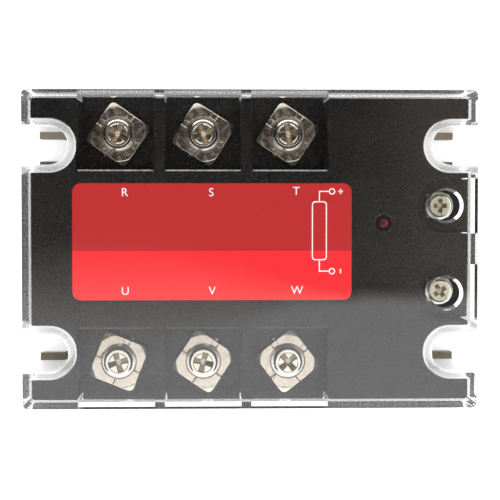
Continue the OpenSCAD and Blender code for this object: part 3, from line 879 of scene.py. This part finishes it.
def stroke_shell(points, width, closed=False):
    """Ribbon of constant width along a plan of points, MARK_T thick."""
    count = len(points)
    sides = []
    for k in range(count):
        back = Vector(points[k]) - Vector(points[k - 1]) if closed or k else None
        ahead = Vector(points[(k + 1) % count]) - Vector(points[k]) if closed or k < count - 1 else None
        along = [d.normalized() for d in (back, ahead) if d is not None]
        normals = [Vector((-d.y, d.x)) for d in along]
        mitre = sum(normals, Vector((0, 0))).normalized()
        reach = width / 2 / max(mitre.dot(normals[0]), 0.3)
        sides.append((Vector(points[k]) + mitre * reach, Vector(points[k]) - mitre * reach))
    verts = [(*p, z) for z in (0, MARK_T) for pair in sides for p in pair]
    faces = []
    for k in range(count if closed else count - 1):
        a, b, c, d = 2 * k, 2 * k + 1, 2 * ((k + 1) % count) + 1, 2 * ((k + 1) % count)
        top = 2 * count
        faces += [(a, b, c, d), (a + top, d + top, c + top, b + top), (a, d, d + top, a + top),
                  (b, b + top, c + top, c)]
    if not closed:
        for k in (0, count - 1):
            a, b = 2 * k, 2 * k + 1
            faces.append((a, b, b + 2 * count, a + 2 * count))
    return verts, faces


print_white = plain_look("white_print", (0.80, 0.74, 0.73), (0.93, 0.90, 0.89), 0.6, (0.4, 0.55), 0.002)
for letter, (x, y) in LETTERS.items():
    add_piece("mark_" + letter, letter_mesh(letter), print_white, "root",
              at=(x, y, MARK_TOP - MARK_T / 2))

symbol_mid = (SYMBOL_LOW + SYMBOL_HIGH) / 2
symbol_half = (SYMBOL_HIGH - SYMBOL_LOW) / 2
symbol_plan = rounded_rectangle(symbol_half.x, symbol_half.y, SYMBOL_CORNER_R)
ring = [(RING_R * math.cos(TAU * k / 32), RING_R * math.sin(TAU * k / 32)) for k in range(32)]
symbol = [stroke_shell([(x + symbol_mid.x, y + symbol_mid.y) for x, y in symbol_plan], LINE_W, True)]
for y, edge in ((RING_PLUS_Y, SYMBOL_HIGH.y), (RING_MINUS_Y, SYMBOL_LOW.y)):
    symbol.append(stroke_shell([(RING_X - LEAD_GAP, y), (symbol_mid.x, y), (symbol_mid.x, edge)], LINE_W))
    symbol.append(stroke_shell([(x + RING_X, y + v) for x, v in ring], LINE_W, True))
for half_x, half_y, y in ((0.55, 0.0, RING_PLUS_Y), (0.0, 0.55, RING_PLUS_Y), (0.0, 0.5, RING_MINUS_Y)):
    sign = [(SIGN_X - half_x, y - half_y), (SIGN_X + half_x, y + half_y)]
    symbol.append(stroke_shell(sign, SIGN_W))
for k, shell in enumerate(symbol):
    add_piece(f"mark_input_{k}", mesh_of("mark_input", [shell]), print_white, "root",
              at=(0, 0, MARK_TOP - MARK_T))

led_low, led_high = span("indicator_led")
LED_R, LED_FLANGE_R = 1.5, 1.9


def led_section(angle):
    """Dome on a short cylinder with a flange at its foot."""
    crown = led_high.z - LED_R
    dome = [(LED_R * math.sin(math.radians(a)), crown + LED_R * math.cos(math.radians(a)))
            for a in range(0, 91, 9)]
    return dome + [(LED_R, led_low.z + 1.0), (LED_FLANGE_R - 0.05, led_low.z + 1.0),
                   (LED_FLANGE_R, led_low.z + 0.9), (LED_FLANGE_R, led_low.z), (0.0, led_low.z)]


led_at = middle("indicator_led")
indicator_lens = mesh_of("indicator_lens", [turned(led_section, 48)])
add_piece("indicator_lens", indicator_lens, LOOKS["led_plastic"], "root",
          ["indicator_led"], (led_at.x, led_at.y, 0))

# ---------- edges of the CAD parts that stay ----------

soften_cad("housing", 0.12)
soften_cad("base_plate", 0.2)

# ---------- stage, light and camera ----------


def stage_floor():
    """Plain white floor just under the part."""
    bm = bmesh.new()
    bmesh.ops.create_grid(bm, x_segments=1, y_segments=1, size=2.5)
    mesh = bpy.data.meshes.new("floor")
    bm.to_mesh(mesh)
    bm.free()
    floor = bpy.data.objects.new("floor", mesh)
    floor.location.z = -0.0002
    SCENE.collection.objects.link(floor)
    mesh.materials.append(plain_look(
        "pale_floor", (0.90, 0.90, 0.90), (0.92, 0.92, 0.92), 60.0, (0.7, 0.8),
        Emission_Color=(1, 1, 1, 1), Emission_Strength=0.45))


def studio_world():
    """White surroundings with a dark band overhead, from just behind the camera to the line side."""
    world = bpy.data.worlds.new("studio")
    SCENE.world = world
    world.use_nodes = True
    nodes, links = world.node_tree.nodes, world.node_tree.links
    back = nodes["Background"]
    split = nodes.new("ShaderNodeSeparateXYZ")
    links.new(nodes.new("ShaderNodeTexCoord").outputs["Generated"], split.inputs["Vector"])

    def calc(operation, a, b=0.0):
        node = nodes.new("ShaderNodeMath")
        node.operation = operation
        for socket, value in zip(node.inputs, (a, b)):
            if isinstance(value, (int, float)):
                socket.default_value = value
            else:
                links.new(value, socket)
        return node.outputs["Value"]

    def ramp(value, from_low, from_high, low, high):
        node = nodes.new("ShaderNodeMapRange")
        node.interpolation_type = "SMOOTHSTEP"
        for socket, number in zip(list(node.inputs)[:5], (value, from_low, from_high, low, high)):
            if isinstance(number, (int, float)):
                socket.default_value = number
            else:
                links.new(number, socket)
        return node.outputs["Result"]

    up = calc("MAXIMUM", split.outputs["Z"], 0.02)
    slope_x = calc("DIVIDE", split.outputs["X"], up)
    slope_y = calc("DIVIDE", split.outputs["Y"], up)
    # The band's near edge is soft towards -X; its far edge lies well past the line side
    blur = ramp(slope_x, -0.05, 0.10, 0.05, 0.006)
    near = ramp(slope_y, calc("SUBTRACT", -0.066, blur), calc("ADD", -0.062, blur), 0.0, 1.0)
    far = ramp(slope_y, 0.45, 0.60, 1.0, 0.0)
    high = ramp(split.outputs["Z"], 0.35, 0.5, 0.0, 1.0)
    dark = calc("MULTIPLY", calc("MULTIPLY", near, far), high)
    # Strength: the band is nearly black and lighter towards +X, the rest is white
    level = ramp(slope_x, 0.08, 0.2, 0.025, 0.3)
    bright = calc("MULTIPLY", calc("SUBTRACT", 1.0, dark), 1.25)
    links.new(calc("ADD", calc("MULTIPLY", dark, level), bright), back.inputs["Strength"])
    tone = nodes.new("ShaderNodeMix")
    tone.data_type = "RGBA"
    tone.inputs[6].default_value = (1, 1, 1, 1)
    tone.inputs[7].default_value = (1, 0.86, 0.74, 1)
    links.new(dark, tone.inputs["Factor"])
    links.new(tone.outputs[2], back.inputs["Color"])


def fill_light():
    """Large overhead lamp that shows in no reflection and not through the cover."""
    lamp = bpy.data.lights.new("overhead", "AREA")
    lamp.shape = "SQUARE"
    lamp.size = 1.6
    lamp.energy = 15
    obj = bpy.data.objects.new("overhead", lamp)
    obj.location = (0, 0, 1.3)
    obj.visible_glossy = False
    obj.visible_transmission = False
    SCENE.collection.objects.link(obj)


def camera():
    """Camera straight above, a little towards the line side and the end at -X."""
    data = bpy.data.cameras.new("camera")
    data.lens = 98.65
    data.sensor_width = 36
    data.clip_start, data.clip_end = 0.01, 10
    obj = bpy.data.objects.new("camera", data)
    SCENE.collection.objects.link(obj)
    place = Vector((-9.7, 9.3, 348)) * MM
    target = Vector((0.3, -0.6, 16.5)) * MM
    back = (place - target).normalized()
    right = Vector((0, 1, 0)).cross(back).normalized()
    turn = Matrix((right, back.cross(right), back)).transposed().to_4x4()
    obj.matrix_world = Matrix.Translation(place) @ turn
    SCENE.camera = obj


stage_floor()
studio_world()
fill_light()
camera()
SCENE.view_settings.view_transform = "Standard"
